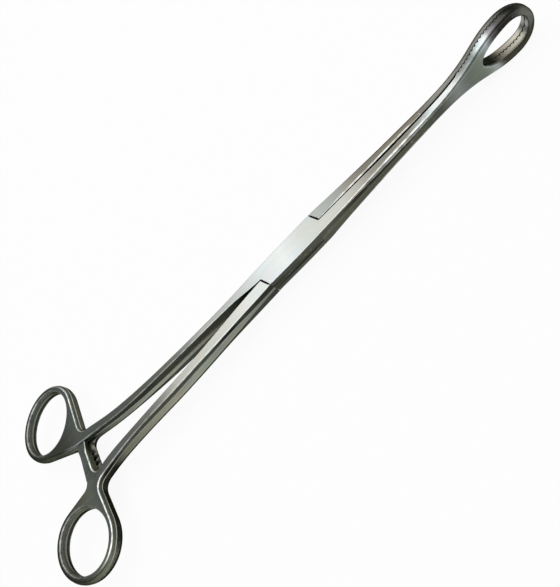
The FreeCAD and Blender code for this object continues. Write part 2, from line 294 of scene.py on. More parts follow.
def inside(points, loops):
    """True for points with an odd number of outline crossings on a line towards +X."""
    odd = np.zeros(len(points), bool)
    for loop in loops:
        a, b = loop, np.roll(loop, -1, 0)
        px, py = points[:, :1], points[:, 1:]
        spans = (a[:, 1] > py) != (b[:, 1] > py)
        rise = np.where(b[:, 1] == a[:, 1], 1, b[:, 1] - a[:, 1])
        cross = a[:, 0] + (py - a[:, 1]) * (b[:, 0] - a[:, 0]) / rise
        odd ^= ((spans & (cross > px)).sum(1) % 2).astype(bool)
    return odd


def fill(loops, lines=()):
    """Triangles over the flat area between closed outlines, with extra lines kept as edges.
    Indices count through the outlines one after the other."""
    points = np.concatenate(loops)
    edges = []
    first = 0
    for loop in loops:
        index = np.arange(len(loop)) + first
        edges += np.c_[index, np.roll(index, -1)].tolist()
        first += len(loop)
    edges += [tuple(pair) for pair in lines]
    flat = [Vector(p) for p in points.tolist()]
    found, _, triangles, origin, _, _ = delaunay_2d_cdt(flat, edges, [], 1, SAME_PLACE)
    source = np.array([o[0] if o else -1 for o in origin])
    triangles = source[np.array([t for t in triangles if len(t) == 3])]
    triangles = triangles[(triangles >= 0).all(1)]
    corners = points[triangles]
    spread = np.cross(corners[:, 1] - corners[:, 0], corners[:, 2] - corners[:, 0])
    triangles[spread < 0] = triangles[spread < 0][:, ::-1]
    return triangles[(np.abs(spread) > 1e-9) & inside(corners.mean(1), loops)]


# Colour masks: ground tops, edges that mark wear and carry a painted highlight, a painted highlight line on
# the ridge, the band's painted tones, painted shade under the middle plane and olive painted light.
MASKS = ("ground", "edge", "ridge", "band", "under", "face")


class Body:
    """Points, faces and colour masks of one piece, gathered part by part; most masks paint light and shade
    into the colour.
    """

    def __init__(self):
        self.points, self.faces, self.masks, self.count = [], [], [], 0

    def add(self, points, faces, masks, flip=False):
        """Adds a part. Masks are one row of values for each point."""
        self.points.append(points)
        self.masks.append(masks)
        for group in faces:
            self.faces.append((group[:, ::-1] if flip else group) + self.count)
        self.count += len(points)


def profile_rows(height, radius, flank, band, low, ground, edge, ridge, pale, face, lip, shine):
    """Rows of an edge seen in section, as (inset, height, ground, edge, ridge, band and face masks): up
    the upright middle band, over the ridge, up a sloping flank, over a parabolic rounding, and a little
    way in on the top, where shine is the share and the width of a painted highlight line beside the edge.
    The ridge mask paints a highlight line at the ridge and at the band's foot, the edge mask over the
    rounding marks wear and paints a highlight, and the band mask gives the band its painted tones."""
    near = 0.08
    run = np.hypot(flank, height - band)
    down_inset = -flank / run
    down_z = -(height - band) / run
    share = near / (height - band)
    below = np.maximum(band - near, low + 0.02)
    rows = [(0, low, 0, 0, lip, pale, face), (0, blend(low, below, 0.85), 0, 0, 0, pale, face),
            (0, below, 0, 0, ridge, pale, face), (flank * share, band + near, 0, 0, ridge, 0, face)]
    start_inset = flank + down_inset * radius
    start_z = height + down_z * radius
    rows += [(blend(flank * share, start_inset, s), blend(band + near, start_z, s), 0, 0, 0, 0, face)
             for s in (0.12, 0.5)]
    rows.append((start_inset + down_inset * near, start_z + down_z * near, 0, 0, 0, 0, face))
    for t, wear_and_highlight in ((0, 0.3), (0.2, 0.8), (0.4, 1), (0.6, 1), (0.8, 1), (1, 0.6)):
        inset = (1 - t)**2 * start_inset + 2 * t * (1 - t) * flank + t**2 * (flank + radius)
        z = (1 - t)**2 * start_z + 2 * t * (1 - t) * height + t**2 * height
        rows.append((inset, z, t**0.7 * ground, wear_and_highlight * edge, 0, 0, (1 - t) * face))
    return rows + [(flank + radius + near + reach * shine, height, ground, wear_and_highlight * shine, 0, 0, 0)
                   for reach, wear_and_highlight in ((0, 0.95), (0.35, 0.95), (0.6, 0))]


def carry(body, loop, rows, flip=False):
    """Adds the rows of an edge carried round an outline: each is the outline moved inwards along its
    mitres by the row's inset, at the row's height. A row is inset, height and one value per mask.
    Gives the plan and the point numbers of the first row, and those of the last."""
    n = len(loop)
    inward = mitres(loop)
    grid = np.array([np.c_[loop + inward * np.broadcast_to(inset, n)[:, None], np.broadcast_to(z, n)]
                     for inset, z, *_ in rows])
    masks = np.array([np.c_[tuple(np.broadcast_to(mask, n) for mask in row[2:])] for row in rows], float)
    k = np.arange(len(rows) - 1)[:, None] * n
    j = np.arange(n)
    nxt = np.roll(j, -1)
    quads = np.stack([k + j, k + nxt, k + n + nxt, k + n + j], -1).reshape(-1, 4)
    first = grid[0, :, :2], body.count + j
    last = grid[-1, :, :2], body.count + k[-1, 0] + n + j
    body.add(grid.reshape(-1, 3), [quads], masks.reshape(-1, len(MASKS)), flip)
    return first, last


def close(body, ends, flip=False, lines=()):
    """Adds the flat faces between carried rows, given as their plans and point numbers."""
    plans, numbers = zip(*ends)
    triangles = np.concatenate(numbers)[fill(plans, lines)]
    body.faces.append(triangles[:, ::-1] if flip else triangles)


def shell(body, loops, sizes, up):
    """Half of a plate on one side of its middle plane: the edge profile carried round each outline, and
    a flat fill between the last rows. sizes gives, for each outline, what profile_rows takes. up is 1
    above the middle plane and -1 below it."""
    tops = []
    for loop, size in zip(loops, sizes):
        # Points below the middle plane get the under mask, which paints them in shade.
        rows = [(inset, up * z, ground, edge, ridge, band, up < 0, face)
                for inset, z, ground, edge, ridge, band, face in profile_rows(**size)]
        tops.append(carry(body, loop, rows, up < 0)[1])
    close(body, tops, up < 0)


def placed(name, data):
    """New object in the scene with a mesh, a camera or a lamp."""
    thing = bpy.data.objects.new(name, data)
    bpy.context.scene.collection.objects.link(thing)
    return thing


def merge(mesh, distance, outwards=False):
    """Merges points of a mesh that lie close together, and turns its faces outwards if asked."""
    work = bmesh.new()
    work.from_mesh(mesh)
    bmesh.ops.remove_doubles(work, verts=work.verts, dist=distance)
    if outwards:
        bmesh.ops.recalc_face_normals(work, faces=work.faces)
    work.to_mesh(mesh)
    work.free()


def make_piece(name, body, mirror=False, plane="plan"):
    """Mesh object of a body: in metres, raised to the frame's level, its doubles merged and its faces
    turned outwards. A piece drawn in the side plane has its depth across the seam."""
    points = np.concatenate(body.points)
    masks = np.concatenate(body.masks)
    if plane == "side":
        points = points[:, [0, 2, 1]]
    if mirror:
        points = points * [1, -1, 1]
    points = (points + [0, 0, MIDDLE_Z]) * MM
    mesh = bpy.data.meshes.new(name)
    mesh.from_pydata(points.tolist(), [], [f for group in body.faces for f in group.tolist()])
    for column, title in enumerate(MASKS):
        layer = mesh.attributes.new(title, "FLOAT", "POINT")
        layer.data.foreach_set("value", masks[:, column].astype(np.float32))
    merge(mesh, DOUBLE_METRES, outwards=True)
    return placed(name, mesh)


def stem_dive(x):
    """How far the end of a stem's own shell lies under the jaw's."""
    return DIVE * eased(STEM_DIVE_X, STEM_END_X, x)


def jaw_dive(x):
    """How far the start of a jaw's shell lies under the stem's."""
    return DIVE * (1 - eased(JAW_START_X, JAW_DIVE_END_X, x))


def edge_sizes(loop, up, seen):
    """Edge profile sizes along an outline: crisp upright walls at the lock and its steps, a sloped forged
    flank on shanks and rings, a softer rounding on the jaw stems and a narrow bevel along the seam. Each
    fades from one place along X to another. seen is the side of the shank, inner or outer, that has the
    wide forged flank above the middle plane."""
    x, y = loop.T
    inner = y < 2.5 + 0.045 * (-x - 12.0)
    far = eased(52, 86, -x)
    near = eased(13, 40, -x)
    away = np.where(inner, far, near)
    neck = eased(92, 106, -x)
    corner = eased(104, 108, -x)
    ring = eased(110, 122, -x)
    stem = eased(13, 48, x)
    height = spline(HANDLE_HALF_HEIGHTS, x) - stem_dive(x)
    seam = (np.abs(y) < 0.2) & (x > 0)
    from_pin = np.abs(x)
    step = (from_pin > 12.2) & (from_pin < 15.0) & (np.abs(y) > 0.25)
    step = step * eased(4.7, 3.7, np.abs(y))
    radius = np.where(seam, 0.12, 0.22 + 0.8 * stem) + 0.1 * away + 0.15 * neck + 0.45 * ring
    flank = 0.62 * away - 0.07 * ring
    band = 0.5 + 0.55 * away - 0.55 * ring
    # The ridge mask paints a highlight line along the ridge, strongest at the necks.
    ridge = away * (0.4 + 0.6 * neck)
    if up > 0 and seen == "inner":
        wide = eased(14, 30, -x)
        flank = np.where(inner, 1.5 * wide - 0.8 * eased(62, 92, -x), flank)
        band = np.where(inner, 0.5 + 0.55 * wide, band)
        ridge = np.where(inner, 0.7 * wide, ridge)
        slope = 0.08 + 0.42 * eased(22, 48, x)
    if up > 0 and seen == "outer":
        hidden = 0.55 * eased(20, 45, -x) + 0.4 * eased(62, 82, -x) * (1 - neck)
        wide = 0.85 * near + 0.75 * eased(32, 56, -x) * (1 - eased(82, 104, -x))
        flank = np.where(inner, hidden, wide) - 0.25 * ring
        band = np.where(inner, band, 0.5 + 1.25 * near - 0.7 * neck - 0.55 * ring)
        slope = 0.05 + 0.1 * eased(25, 55, x)
    if up > 0:
        flank = flank + np.where(seam, slope, 0) + 0.16 * step
    else:
        radius = radius - 0.15 * eased(11, 12.2, from_pin) * eased(16, 15, from_pin)
        flank = flank - 0.04 * step * (seen == "outer")
    # The edge mask marks wear and paints a highlight on the rounded edges, brightest along the male's seam;
    # shine paints a highlight line beside the male's seam, and pale gives the band its painted tones.
    stem_edge = 0.35 if seen == "inner" else -0.4
    edge = np.where(seam, 0.9 if seen == "outer" else 0.0, 0.4 + 0.6 * corner + stem_edge * stem)
    shine = seam * eased(16, 24, x) * eased(61, 56, x) * (up > 0) * (seen == "outer")
    flat = np.zeros(len(x))
    return {"height": height, "radius": radius, "flank": flank, "band": band, "low": flat,
            "ground": 1 - ring, "edge": edge * (1 - ring) * (1 - step), "shine": shine,
            "ridge": ridge * (1 - ring) * (up > 0), "pale": 1 - 0.8 * ring, "face": flat, "lip": flat}


def hole_sizes_of(loop, up, seen):
    """Edge profile sizes inside a finger ring: rounder, with edges that mark the fingers' wear and carry a
    painted highlight.
    """
    sizes = edge_sizes(loop, up, seen)
    neck = 1 - eased(112, 120, -loop[:, 0])
    full = np.ones(len(loop))
    sizes.update(radius=0.85 - 0.45 * neck, flank=0.25 * full, band=0.3 * full, edge=0.4 + 0.5 * neck,
                 ridge=0 * full, pale=full)
    return sizes


def plain_sizes_of(loop, height, ground):
    """Edge profile sizes of a square edge."""
    sizes = {"height": height, "radius": 0.01, "flank": 0, "band": 0.5, "low": 0, "ground": ground,
             "edge": 0, "shine": 0, "ridge": 0, "pale": 0, "face": 0, "lip": 0}
    return {title: value * np.ones(len(loop)) for title, value in sizes.items()}


def circle(radius):
    """Circle round the pin's axis, clockwise, so that the metal is on its left."""
    angle = -np.arange(PIN_POINTS) * 2 * math.pi / PIN_POINTS
    return np.c_[radius * np.cos(angle), radius * np.sin(angle)]


def oriented(loop, clockwise):
    """The outline itself if it runs the way asked for, and the outline backwards if not."""
    x, y = loop.T
    area = (x * np.roll(y, -1) - np.roll(x, -1) * y).sum()
    return loop[::-1] if (area < 0) != clockwise else loop


def arm_sizes(loop, sizes, arm_front_x, tip_y, up):
    """Sizes of an outline with an arm: the arm's flanks start at the ratchet grooves, its front slopes
    more than its rear, the slope of the front fades out along the shank, and everything gets small
    towards the square tip. The front of the upper arm has olive painted light, and the lower arm a
    painted highlight line along its grooves."""
    x, y = loop.T
    on_arm = (x > ARM_REAR_X - 0.6) & (x < arm_front_x + 0.02) & (y < 8.0) & (y > tip_y - 0.1)
    corner_y, corner_z = ratchet_corners()
    teeth = np.interp(y, corner_y, corner_z)
    fade = eased(8, 6.4, y) * on_arm
    low = sizes["low"] + fade * teeth
    front = eased(ARM_TIP_REAR_X + 1.0, arm_front_x - 1.0, x) * eased(8.5, 5.5, y) * (y < 8.5)
    front = front * eased(arm_front_x + 3.4, arm_front_x + 1.0, x)
    near_tip = eased(tip_y + 2.2, tip_y + 0.4, y) * on_arm
    flank = blend(blend(sizes["flank"], 1.15, front), 0.1, near_tip)
    sizes.update(low=low, flank=flank, radius=blend(sizes["radius"], 0.14, near_tip),
                 height=blend(sizes["height"], ARM_HALF_HEIGHT, eased(9, 4, y) * on_arm),
                 band=np.maximum(blend(sizes["band"], 0.3, front), low + 0.12),
                 ridge=sizes["ridge"] * (1 - front), face=front * (up > 0), lip=front * (up < 0))
    return sizes


def arm_underside(body, plain, armed, low, up):
    """Toothed underside of an arm: the flat area between the two outlines, with the grooves' corners as
    lines across it."""
    plain_keys, armed_keys = ([tuple(p) for p in np.round(loop, 6).tolist()] for loop in (plain, armed))
    first, last = np.flatnonzero([key not in plain_keys for key in armed_keys])[[0, -1]]
    start, stop = np.flatnonzero([key not in armed_keys for key in plain_keys])[[0, -1]]
    neck_path = plain[start:stop + 1][::-1]
    loop = np.concatenate([armed[first - 1:last + 2], neck_path])
    z = np.r_[0, low[first:last + 1], 0, np.zeros(len(neck_path))]
    if oriented(loop, False) is not loop:
        loop, z = loop[::-1], z[::-1]
    across = [np.flatnonzero(np.abs(loop[:, 1] - y) < SAME_PLACE).tolist() for y in ratchet_corners()[0]]
    triangles = fill([loop], [tuple(pair) for pair in across if len(pair) == 2])
    body.add(np.c_[loop, up * z], [triangles], np.zeros((len(loop), len(MASKS))), flip=up > 0)


def handle_outlines(outer, inner, ring_y, start_x, end_x, arm_front_x, other_inner):
    """Outlines of a handle without and with its arm, and the place of the arm's tip, which stops
    short of the other shank's inner side."""
    tip_y = -spline(other_inner, ARM_TIP_REAR_X) + ARM_END_GAP
    plain = handle_side(outer, inner, ring_y, start_x, end_x, None, tip_y)
    armed = handle_side(outer, inner, ring_y, start_x, end_x, arm_front_x, tip_y)
    return plain, armed, tip_y


def stem_back(x):
    """Back of stem and jaw, from the seam."""
    return spline(JAW_BACKS, x)


def stem_side(x):
    """Back of a stem's own shell."""
    return stem_back(x) - stem_dive(x)


def female_body():
    """Handle, box and stem of the half with the box, in one shell from ring to jaw."""
    plain, armed, tip_y = handle_outlines(FEMALE_OUTER, FEMALE_INNER, FEMALE_RING_Y, 0.0,
                                          -STEP_INNER_X - 0.4, FEMALE_ARM_FRONT_X, MALE_INNER)
    stem_x = np.arange(-STEP_EDGE_X + POINT_SPACING, STEM_END_X, POINT_SPACING)
    rest = np.concatenate([
        straight([-STEP_INNER_X, HALF_SEAM], [-STEP_EDGE_X, -LOCK_HALF_WIDTH], STEP_SPACING),
        [[-STEP_EDGE_X, -LOCK_HALF_WIDTH]], np.c_[stem_x, -stem_side(stem_x)],
        [[STEM_END_X, -stem_side(STEM_END_X)], [STEM_END_X, -HALF_SEAM - DIVE]],
        straight([SEAM_DIVE_X, -HALF_SEAM], [STEP_INNER_X, -HALF_SEAM], POINT_SPACING),
        straight([STEP_INNER_X, -HALF_SEAM], [STEP_EDGE_X, LOCK_HALF_WIDTH], STEP_SPACING),
        [[STEP_EDGE_X, LOCK_HALF_WIDTH]],
        straight([STEP_EDGE_X - 1.2, LOCK_HALF_WIDTH], [1.0, LOCK_HALF_WIDTH], POINT_SPACING)])
    plain, armed = np.concatenate([plain, rest]), np.concatenate([armed, rest])
    hole = oriented(ring_hole(FEMALE_RING_Y), True)
    pin_hole = circle(PIN_RADIUS)
    pin_sizes = plain_sizes_of(pin_hole, LOCK_HALF_HEIGHT, 1)
    body = Body()
    shell(body, [plain, hole, pin_hole],
          [edge_sizes(plain, 1, "inner"), hole_sizes_of(hole, 1, "inner"), pin_sizes], 1)
    sizes = arm_sizes(armed, edge_sizes(armed, -1, "inner"), FEMALE_ARM_FRONT_X, tip_y, -1)
    shell(body, [armed, hole, pin_hole], [sizes, hole_sizes_of(hole, -1, "inner"), pin_sizes], -1)
    arm_underside(body, plain, armed, sizes["low"], -1)
    return body


def slot_cutter():
    """Closed block for the room between the cheeks: the box's plan, less the two posts outside the
    tongue's sweep, a little wider than the box at its open sides."""
    reach = LOCK_HALF_WIDTH + 3.0
    start = math.acos(HALF_SEAM / SWEEP_RADIUS)
    arc = np.linspace(-math.pi / 2 + start, -math.asin(reach / SWEEP_RADIUS), ARC_POINTS)
    post = np.c_[SWEEP_RADIUS * np.cos(arc), SWEEP_RADIUS * np.sin(arc)]
    end_x = STEP_INNER_X + 4.0
    half = np.concatenate([[[end_x, reach]], [[end_x, -HALF_SEAM]], post])
    loop = oriented(np.concatenate([half, -half]), False)
    body = Body()
    no_masks = [0] * len(MASKS)
    low, high = carry(body, loop, [(0, z, *no_masks) for z in (-SLOT_HALF_HEIGHT, SLOT_HALF_HEIGHT)])
    close(body, [low], flip=True)
    close(body, [high])
    return make_piece("slot_cutter", body)


def cut(piece, cutter):
    """Takes the cutter's room out of a piece, merges the slivers along the cut and deletes the cutter."""
    modifier = piece.modifiers.new("room", "BOOLEAN")
    modifier.operation = "DIFFERENCE"
    modifier.solver = "EXACT"
    modifier.object = cutter
    mesh = bpy.data.meshes.new_from_object(piece.evaluated_get(bpy.context.evaluated_depsgraph_get()))
    merge(mesh, SLIVER_METRES)
    piece.modifiers.clear()
    piece.data = mesh
    bpy.data.objects.remove(cutter)


def male_handle():
    """Handle of the half with the tongue, drawn on the +Y side, from its ring to its slanted shoulder."""
    start_x, end_x = -MALE_STEP_EDGE_X, -MALE_STEP_INNER_X
    plain, armed, tip_y = handle_outlines(MALE_OUTER, MALE_INNER, MALE_RING_Y, start_x, end_x - 0.5,
                                          MALE_ARM_FRONT_X, FEMALE_INNER)
    shoulder = straight([end_x, float(spline(MALE_INNER, end_x))],
                        [start_x, float(spline(MALE_OUTER, start_x))], STEP_SPACING)
    plain, armed = np.concatenate([plain, shoulder]), np.concatenate([armed, shoulder])
    hole = oriented(ring_hole(MALE_RING_Y), True)
    body = Body()
    sizes = arm_sizes(armed, edge_sizes(armed, 1, "outer"), MALE_ARM_FRONT_X, tip_y, 1)
    shell(body, [armed, hole], [sizes, hole_sizes_of(hole, 1, "outer")], 1)
    shell(body, [plain, hole], [edge_sizes(plain, -1, "outer"), hole_sizes_of(hole, -1, "outer")], -1)
    arm_underside(body, plain, armed, sizes["low"], 1)
    return body


def male_stem():
    """Stem of the male jaw on the +Y side, from its slanted shoulder into the jaw."""
    x = np.arange(STEM_END_X, MALE_STEP_EDGE_X + 1.0, -POINT_SPACING)
    loop = np.concatenate([
        straight([MALE_STEP_INNER_X, HALF_SEAM], [SEAM_DIVE_X, HALF_SEAM], POINT_SPACING),
        [[SEAM_DIVE_X, HALF_SEAM], [STEM_END_X, HALF_SEAM + DIVE]], np.c_[x, stem_side(x)],
        straight([MALE_STEP_EDGE_X, float(stem_back(MALE_STEP_EDGE_X))], [MALE_STEP_INNER_X, HALF_SEAM],
                 STEP_SPACING)])
    body = Body()
    for up in (1, -1):
        shell(body, [loop], [edge_sizes(loop, up, "outer")], up)
    return body


def tongue():
    """Flat tongue through the box: a round-ended plate with an arm into the shank and one into the stem."""
    reach = MALE_STEP_INNER_X + 1.0
    corner = math.acos(TONGUE_HALF_WIDTH / TONGUE_RADIUS)
    arc = np.linspace(-math.pi / 2 + corner, math.asin(HALF_SEAM / TONGUE_RADIUS), ARC_POINTS)
    end = np.c_[TONGUE_RADIUS * np.cos(arc), TONGUE_RADIUS * np.sin(arc)]
    half = np.concatenate([end, [[reach, HALF_SEAM]], [[reach, TONGUE_HALF_WIDTH]]])
    loop = oriented(np.concatenate([half, -half]), False)
    bore = circle(BORE_RADIUS)
    body = Body()
    for up in (1, -1):
        shell(body, [loop, bore], [plain_sizes_of(p, TONGUE_HALF_HEIGHT, 0) for p in (loop, bore)], up)
    return body


def loop_edge(x):
    """Half height of stem and loop at x: the stem's spline, then a quarter ellipse to the tip."""
    stations = STEM_HALF_HEIGHTS + [(LOOP_WIDEST_X, LOOP_HALF_WIDTH)]
    along = spline(stations, x, end=0.0)
    share = np.clip((x - LOOP_WIDEST_X) / (JAW_TIP_X - LOOP_WIDEST_X), 0, 1)
    return np.where(x > LOOP_WIDEST_X, LOOP_HALF_WIDTH * np.sqrt(1 - share**2), along)


def window_edge(x):
    """Half height of the window at x: two quarter ellipses that meet at its widest place."""
    nose = np.where(x > WINDOW_WIDEST_X, WINDOW_TIP_X - WINDOW_WIDEST_X, WINDOW_WIDEST_X - WINDOW_REAR_X)
    share = np.clip(np.abs(x - WINDOW_WIDEST_X) / nose, 0, 1)
    return WINDOW_HALF_WIDTH * np.sqrt(1 - share**2)


def tooth_wave(x, phase):
    """Depth of the gripping face: a triangle wave across the loop, flat along the stem."""
    turn = (x - TOOTH_START_X) / TOOTH_PITCH
    wave = 2 * np.abs(2 * ((turn - 0.25) % 1) - 1) - 1
    return np.where(x > TOOTH_START_X, phase * TOOTH_DEPTH / 2 * wave, 0)


def crowd(a, b):
    """Places that crowd towards b, for the round end of an ellipse."""
    return b + (a - b) * np.array([0.75, 0.5, 0.3, 0.16, 0.07, 0.02])


def jaw_rows(loop, phase, is_window):
    """Rows round the outline of a jaw or of its window: the gripping face's edge, up the side wall and
    over the parabolic rounding of the back. The gripping face's edge is painted dark as shade. The wall
    is ground where the stem's shell ends, has the band's painted tones in the window and painted shade
    on the lower side. The back turns from the band's painted tones to the ground ones, but for the lower
    branch of the loop, which keeps the painted shade with a little olive painted light. The rounding's
    edge mask marks wear and paints a highlight."""
    x, z = loop.T
    wave = tooth_wave(x, phase) + jaw_dive(x)
    thick = stem_back(x) - HALF_SEAM - jaw_dive(x)
    grown = eased(66, 88, x)
    radius = 0.8 + 0 * x if is_window else 1.1 + 0.7 * grown - 0.4 * eased(99, 105, x)
    toothed = eased(TOOTH_START_X - 1.0, TOOTH_START_X + 1.0, x)
    turn = (x - TOOTH_START_X) / TOOTH_PITCH * 2 * math.pi
    front = blend(0.12 if phase > 0 else 0.4, 0.1 - 0.07 * np.sin(turn), toothed)
    on_wall = 0 * x if is_window else 1 - eased(60, 68, x)
    wall_band = float(is_window)
    back_band = (1 - grown) * (1 - wall_band)
    low_branch = eased(0.5, 4.5, -z) * eased(85, 92, x)
    under = (z < 0) * (1 - wall_band)
    back_ground = grown * (1 - low_branch)
    wear_and_highlight = 0.5 * (1 - grown)
    rows = [(front, wave, 0, 0, 0, 0, 1, 0), (0, wave + front, 0, 0, 0, 0, 1, 0)]
    rows += [(0, blend(wave + front, thick - radius, s), on_wall, 0, 0, wall_band, under, 0)
             for s in (0.05, 0.5, 0.94)]
    for t in np.linspace(0, 1, 9):
        depth = (1 - t)**2 * (thick - radius) + (1 - (1 - t)**2) * thick
        soon = min(1, 1.8 * t)
        rows.append((t**2 * radius, depth, blend(on_wall, back_ground, t**(0.8 + 0.9 * grown)),
                     (1 - abs(2 * t - 1)) * wear_and_highlight, 0, blend(wall_band, back_band, soon),
                     blend(under, low_branch, soon), 0.16 * t * low_branch))
    rows.append((radius + 0.08, thick, back_ground, 0, 0, back_band, low_branch, 0.16 * low_branch))
    return [(inset, HALF_SEAM + depth, *masks) for inset, depth, *masks in rows]


def tooth_lines(outer, window, crests):
    """Lines across the gripping face between points of the two outlines at a tooth's crest or root.
    None is drawn just beside the window's ends, where it would graze the window."""
    points = np.concatenate([outer, window])
    lines = []
    for crest in crests:
        hits = np.flatnonzero(np.abs(points[:, 0] - crest) < SAME_PLACE).tolist()
        hits.sort(key=lambda number: (points[number, 1], number))
        beside_window = WINDOW_REAR_X - 0.2 < crest < WINDOW_TIP_X + 0.2 and len(hits) == 2
        if len(hits) in (2, 4) and not beside_window:
            lines += zip(hits[::2], hits[1::2])
    return lines


def jaw(phase):
    """Jaw on the +Y side, drawn in X and Z with its depth from the seam: a plate with a rounded back,
    a window, and a gripping face with teeth across it."""
    crests = TOOTH_START_X + TOOTH_PITCH * (np.arange(0, 45) / 2 + 0.25)
    crests = crests[crests < JAW_TIP_X - 0.25]
    halves = TOOTH_START_X + TOOTH_PITCH * (np.arange(0, 45) / 2 + 0.5)
    halves = halves[halves < JAW_TIP_X - 0.6]
    x = np.unique(np.r_[np.arange(JAW_START_X, TOOTH_START_X, 1.0), crests, halves,
                        crowd(JAW_TIP_X - 0.5, JAW_TIP_X)])
    z = loop_edge(x) - jaw_dive(x)
    outer = np.concatenate([np.c_[x, -z], [[JAW_TIP_X, 0.0]], np.c_[x, z][::-1]])
    x = np.unique(np.r_[crests, halves, crowd(WINDOW_REAR_X + 0.6, WINDOW_REAR_X),
                        crowd(WINDOW_TIP_X - 0.6, WINDOW_TIP_X)])
    x = x[(x > WINDOW_REAR_X + 0.005) & (x < WINDOW_TIP_X - 0.005)]
    z = window_edge(x)
    window = np.concatenate([[[WINDOW_REAR_X, 0.0]], np.c_[x, z], [[WINDOW_TIP_X, 0.0]], np.c_[x, -z][::-1]])
    outer, window = oriented(outer, False), oriented(window, True)
    body = Body()
    fronts, backs = zip(*[carry(body, loop, jaw_rows(loop, phase, loop is window))
                          for loop in (outer, window)])
    close(body, fronts, flip=True, lines=tooth_lines(outer, window, crests))
    close(body, backs)
    return body


def joined(name, pieces):
    """One object from several, with sharp edges where faces meet at a large angle."""
    bpy.ops.object.select_all(action="DESELECT")
    for piece in pieces:
        piece.select_set(True)
    bpy.context.view_layer.objects.active = pieces[0]
    bpy.ops.object.join()
    whole = pieces[0]
    whole.name = whole.data.name = name
    whole.data.polygons.foreach_set("use_smooth", np.ones(len(whole.data.polygons), bool))
    whole.data.set_sharp_from_angle(angle=SHARP_ANGLE)
    return whole


female = make_piece("female_body", female_body())
cut(female, slot_cutter())
female = joined("female_forging", [female, make_piece("female_jaw", jaw(-1), mirror=True, plane="side")])
male = joined("male_forging", [make_piece("male_handle", male_handle(), mirror=True),
                               make_piece("male_stem", male_stem()), make_piece("tongue", tongue()),
                               make_piece("male_jaw", jaw(1), plane="side")])


# Finishes, with light and shade painted in. Tones are given along the forceps, from the rings to the
# jaws: X in mm, and the colour's red, green and blue in thousandths. Their top, upper, band and lower
# tones paint the highlights, reflections and shade of the lit steel into its colour, lower being the
# painted shade under the middle plane.
TONE_START_X = -140.0
TONE_END_X = 110.0
BOX_HALF_TONES_AND_PAINTED_LIGHT = {
    "top": [(-130, 130, 135, 120), (-112, 200, 220, 200), (-95, 170, 180, 165), (-75, 135, 140, 125),
        (-60, 160, 165, 145), (-52, 250, 250, 230), (-44, 380, 380, 360), (-32, 400, 400, 385),
        (-24, 470, 475, 460), (-13, 590, 605, 600), (-3, 650, 670, 660), (6, 530, 545, 530),
        (12, 500, 510, 480), (24, 470, 460, 420), (31, 370, 360, 325), (38, 230, 220, 195),
        (48, 185, 175, 150), (55, 200, 195, 170), (61, 320, 320, 300), (66, 580, 590, 580),
        (72, 200, 210, 180), (77, 100, 105, 80), (84, 165, 180, 140), (87, 200, 220, 185),
        (89.5, 320, 345, 330), (92, 90, 90, 85), (95, 20, 20, 16), (101, 25, 25, 20), (105, 150, 160, 140)],
    "upper": [(-130, 80, 85, 70), (-80, 110, 115, 95), (-60, 85, 90, 70), (-14, 70, 75, 60),
        (16, 90, 95, 75), (30, 30, 30, 22), (52, 30, 30, 22), (58, 140, 140, 120), (66, 700, 720, 720),
        (75, 620, 640, 640), (79.5, 270, 290, 280), (84.5, 220, 245, 230), (87, 580, 620, 620),
        (90, 760, 790, 800), (92.5, 260, 250, 260), (95.5, 80, 76, 78), (101, 55, 55, 50),
        (105, 90, 95, 80)],
    "band": [(-130, 200, 205, 170), (-114, 160, 165, 120), (-106, 50, 52, 40), (-96, 160, 165, 130),
        (-80, 300, 310, 260), (-62, 360, 370, 310), (-44, 260, 260, 220), (-22, 90, 90, 70),
        (-12, 110, 115, 95), (20, 110, 115, 90), (62, 85, 90, 70), (76, 85, 90, 70), (85, 30, 32, 22),
        (89, 50, 52, 40), (92, 340, 330, 270), (100, 450, 440, 380), (104, 400, 410, 380)],
    "lower": [(-130, 30, 33, 26), (-100, 30, 33, 26), (-80, 60, 65, 50), (-16, 70, 75, 60),
        (0, 100, 107, 87), (60, 85, 90, 70), (84, 35, 36, 30), (104, 20, 20, 17)],
}
# The half with the tongue, with its own painted light and shade.
TONGUE_HALF_TONES_AND_PAINTED_LIGHT = {
    "top": [(-130, 130, 135, 120), (-112, 180, 200, 185), (-98, 220, 230, 215), (-87, 200, 205, 190),
        (-77, 250, 255, 235), (-70, 340, 340, 310), (-62, 520, 515, 465), (-52, 540, 535, 490),
        (-44, 530, 530, 490), (-33, 540, 550, 510), (-23, 610, 615, 595), (-14, 590, 620, 605),
        (15, 370, 370, 350), (25, 300, 295, 270), (31, 220, 210, 185), (37, 165, 155, 135),
        (45, 175, 165, 125), (58, 170, 155, 125), (67, 160, 155, 140), (74, 220, 220, 205),
        (82, 200, 200, 180), (104, 140, 140, 120)],
    "upper": [(-130, 80, 85, 70), (-118, 200, 205, 150), (-112, 360, 365, 270), (-108, 140, 145, 110),
        (-105, 45, 47, 35), (-14, 35, 37, 30), (20, 100, 105, 80), (60, 120, 120, 100),
        (68, 220, 220, 200), (84, 220, 220, 200), (92, 240, 230, 210), (98, 100, 100, 90),
        (104, 100, 100, 90)],
    "band": [(-130, 200, 205, 170), (-114, 100, 105, 80), (-111, 20, 21, 15), (-101, 20, 21, 15),
        (-94, 170, 175, 130), (-80, 270, 275, 220), (-66, 320, 325, 265), (-50, 300, 310, 255),
        (-24, 240, 245, 210), (-14, 200, 205, 175), (20, 110, 115, 90), (62, 120, 120, 95),
        (85, 30, 32, 22), (89, 50, 52, 40), (92, 380, 360, 290), (100, 480, 460, 400),
        (104, 420, 420, 380)],
    "lower": [(-130, 30, 33, 26), (-100, 20, 22, 17), (-80, 80, 85, 66), (-50, 90, 95, 75),
        (-16, 60, 64, 52), (60, 40, 42, 35), (84, 35, 36, 30), (104, 20, 20, 17)],
}
